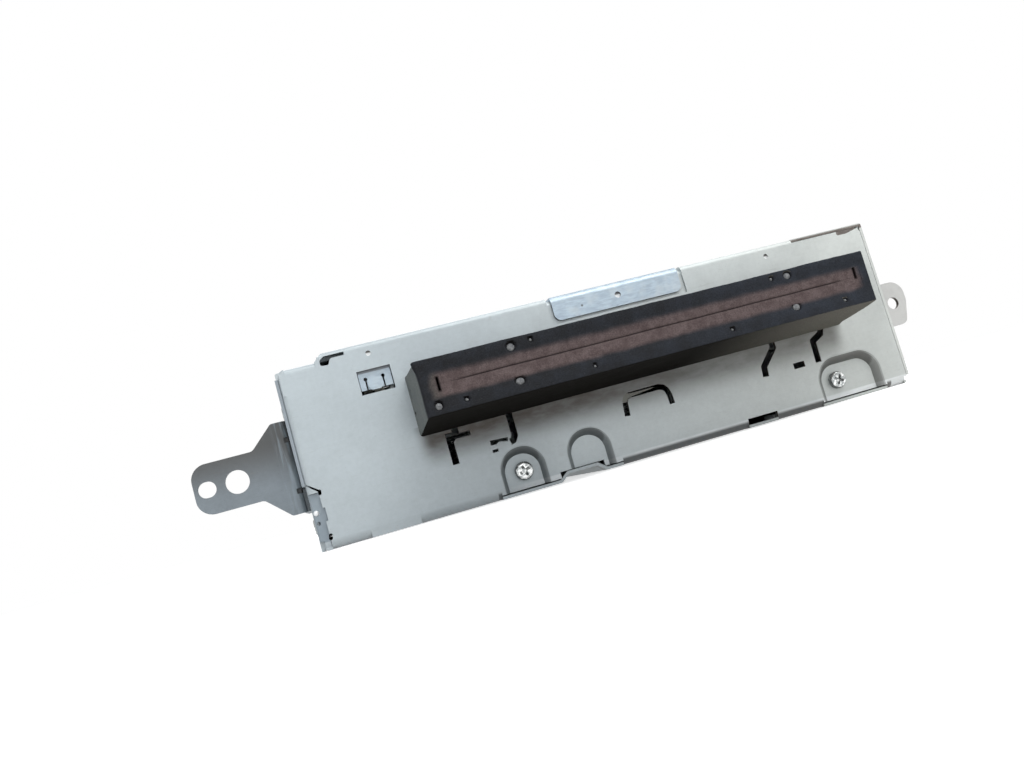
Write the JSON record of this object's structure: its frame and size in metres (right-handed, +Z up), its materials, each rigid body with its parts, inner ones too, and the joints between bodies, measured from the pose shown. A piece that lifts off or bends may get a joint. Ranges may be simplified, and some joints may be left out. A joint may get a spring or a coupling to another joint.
{
  "type": "slot-loading car disc player",
  "caption": "Flat steel car disc deck with a foam-sealed disc slot in front, mounting ears, roller loader, sprung spindle deck with pickup, clamp arm and circuit board.",
  "frame": {"origin": "centre of the case's flat underside", "axes": "+X to the right seen from the front, along the case's width; +Y into the case, away from the disc slot; +Z up"},
  "size_m": [0.217, 0.1874, 0.05],
  "materials": {
    "galvanised": "pale spangled sheet",
    "blue_zinc": "bluish zinc sheet",
    "dark_zinc": "dull dark zinc",
    "bright_steel": "bright plated screw",
    "foam": "fine-celled dark foam",
    "lip_foam": "plum-brown worn foam skin",
    "board_green": "solder-masked board",
    "black_plastic": "moulded",
    "white_plastic": "moulded acetal",
    "grey_plastic": "moulded",
    "can_aluminium": "drawn can",
    "pin_gold": "plated",
    "brass": "turned",
    "roller_rubber": "ground rubber",
    "polished_steel": "ground rod",
    "spring_steel": "drawn wire",
    "damper_rubber": "moulded",
    "lens_glass": "coated lens"
  },
  "bodies": {
    "case": {"chassis_shell": "galvanised", "top_cover": "blue_zinc", "bottom_cover": "galvanised", "rear_panel": "galvanised", "left_bracket": "dark_zinc", "right_bracket": "galvanised", "side_screws": "bright_steel", "bracket_screws": "bright_steel", "front_screws": "bright_steel", "rear_screws": "bright_steel", "dust_seal": "foam", "main_board": "board_green", "board_screws": "bright_steel", "board_chips": "black_plastic", "board_capacitors": "can_aluminium", "cable_socket": "white_plastic", "rear_connector": "black_plastic", "connector_pins": "pin_gold", "mech_frame": "galvanised", "mech_top": "galvanised", "mech_screws": "bright_steel", "disc_guide": "black_plastic", "detect_switches": "black_plastic", "gear_posts": "polished_steel", "motor_bracket": "galvanised", "loading_motor": "galvanised", "oil_dampers": "damper_rubber", "deck_springs": "spring_steel", "lever_springs": "spring_steel"},
    "upper_lip": {"upper_lip": "lip_foam"},
    "lower_lip": {"lower_lip": "lip_foam"},
    "roller_carrier": {"roller_arm": "galvanised", "roller_bushes": "brass"},
    "roller": {"roller_shaft": "polished_steel", "rubber_roller": "roller_rubber", "roller_gear": "white_plastic"},
    "idler": {"idler_gear": "white_plastic"},
    "step_gear": {"double_gear": "white_plastic"},
    "pinion": {"motor_pinion": "brass"},
    "slider": {"cam_slider": "grey_plastic"},
    "mode_wheel": {"mode_gear": "white_plastic"},
    "deck": {"traverse_deck": "galvanised", "deck_pins": "polished_steel", "spindle_motor": "galvanised", "guide_rods": "polished_steel", "sled_motor": "galvanised", "clamp_pin": "polished_steel", "clamp_spring": "spring_steel"},
    "spindle": {"turntable": "black_plastic"},
    "pickup": {"pickup_body": "grey_plastic", "sled_rack": "white_plastic"},
    "lens": {"lens_holder": "black_plastic", "pickup_lens": "lens_glass"},
    "sled_wheel": {"sled_gear": "white_plastic"},
    "sled_drive": {"sled_pinion": "brass"},
    "clamp": {"clamp_arm": "galvanised"},
    "clamp_disc": {"clamper": "black_plastic"},
    "left_feeler": {"left_lever": "black_plastic"},
    "right_feeler": {"right_lever": "black_plastic"}
  },
  "joints": [
    {"name": "upper_lip_fold", "type": "hinge", "parent": "case", "child": "upper_lip", "pos_m": [0.0057, -0.1042, 0.0349], "axis": [1, 0, 0], "range_deg": [0, 75], "stiffness_Nm_per_rad": 0.002},
    {"name": "lower_lip_fold", "type": "hinge", "parent": "case", "child": "lower_lip", "pos_m": [0.0057, -0.1042, 0.0277], "axis": [-1, 0, 0], "range_deg": [0, 75], "stiffness_Nm_per_rad": 0.002},
    {"name": "roller_drop", "type": "hinge", "parent": "case", "child": "roller_carrier", "pos_m": [0.0057, -0.054, 0.02542], "axis": [1, 0, 0], "range_deg": [0, 16.1]},
    {"name": "roller_spin", "type": "hinge", "parent": "roller_carrier", "child": "roller", "pos_m": [0.0057, -0.07, 0.0277], "axis": [1, 0, 0], "continuous": true},
    {"name": "idler_spin", "type": "hinge", "parent": "case", "child": "idler", "pos_m": [-0.0629, -0.07, 0.0382], "axis": [1, 0, 0], "continuous": true},
    {"name": "step_gear_spin", "type": "hinge", "parent": "case", "child": "step_gear", "pos_m": [-0.0629, -0.06, 0.0382], "axis": [1, 0, 0], "continuous": true},
    {"name": "motor_spin", "type": "hinge", "parent": "case", "child": "pinion", "pos_m": [-0.066, -0.048, 0.0382], "axis": [1, 0, 0], "continuous": true},
    {"name": "cam_slide", "type": "slide", "parent": "case", "child": "slider", "axis": [0, 1, 0], "range_m": [0, 0.012]},
    {"name": "mode_gear_spin", "type": "hinge", "parent": "case", "child": "mode_wheel", "pos_m": [-0.0611, -0.06, 0.0382], "axis": [1, 0, 0], "range_deg": [0, 138]},
    {"name": "deck_float", "type": "slide", "parent": "case", "child": "deck", "axis": [0, 0, 1], "range_m": [-0.0006, 0.0006], "stiffness_N_per_m": 1080, "springref_m": 0.00173, "deforming": ["deck_springs"]},
    {"name": "disc_spin", "type": "hinge", "parent": "deck", "child": "spindle", "pos_m": [0.0057, -0.004, 0.028], "axis": [0, 0, 1], "continuous": true},
    {"name": "pickup_slide", "type": "slide", "parent": "deck", "child": "pickup", "axis": [0, 1, 0], "range_m": [0, 0.035]},
    {"name": "lens_focus", "type": "slide", "parent": "pickup", "child": "lens", "axis": [0, 0, 1], "range_m": [-0.0004, 0.0004], "stiffness_N_per_m": 10, "springref_m": 0.0003},
    {"name": "sled_gear_spin", "type": "hinge", "parent": "deck", "child": "sled_wheel", "pos_m": [0.0387, 0.028, 0.024], "axis": [0, 0, 1], "range_deg": [-669, 1]},
    {"name": "sled_motor_spin", "type": "hinge", "parent": "deck", "child": "sled_drive", "pos_m": [0.0491, 0.028, 0.0232], "axis": [0, 0, 1], "range_deg": [-1, 2229]},
    {"name": "clamp_swing", "type": "hinge", "parent": "deck", "child": "clamp", "pos_m": [0.0057, 0.0625, 0.0345], "axis": [1, 0, 0], "range_deg": [0, 4.3]},
    {"name": "clamper_spin", "type": "hinge", "parent": "clamp", "child": "clamp_disc", "pos_m": [0.0057, -0.004, 0.037], "axis": [0, 0, 1], "continuous": true},
    {"name": "left_lever_swing", "type": "hinge", "parent": "case", "child": "left_feeler", "pos_m": [-0.0443, -0.036, 0.038], "axis": [0, 0, -1], "range_deg": [0, 67.5], "stiffness_Nm_per_rad": 0.002},
    {"name": "right_lever_swing", "type": "hinge", "parent": "case", "child": "right_feeler", "pos_m": [0.0557, -0.036, 0.038], "axis": [0, 0, 1], "range_deg": [0, 67.5], "stiffness_Nm_per_rad": 0.002}
  ],
  "couplings": [
    {"joint": "idler_spin", "follows": "roller_spin", "ratio": -0.75},
    {"joint": "step_gear_spin", "follows": "roller_spin", "ratio": 1.125},
    {"joint": "motor_spin", "follows": "roller_spin", "ratio": -3.375},
    {"joint": "mode_gear_spin", "follows": "cam_slide", "rad_per_m": 200},
    {"joint": "roller_drop", "follows": "cam_slide", "rad_per_m": 23.271},
    {"joint": "clamp_swing", "follows": "cam_slide", "rad_per_m": 6.1087},
    {"joint": "sled_gear_spin", "follows": "pickup_slide", "rad_per_m": -333.33},
    {"joint": "sled_motor_spin", "follows": "pickup_slide", "rad_per_m": 1111.1}
  ]
}
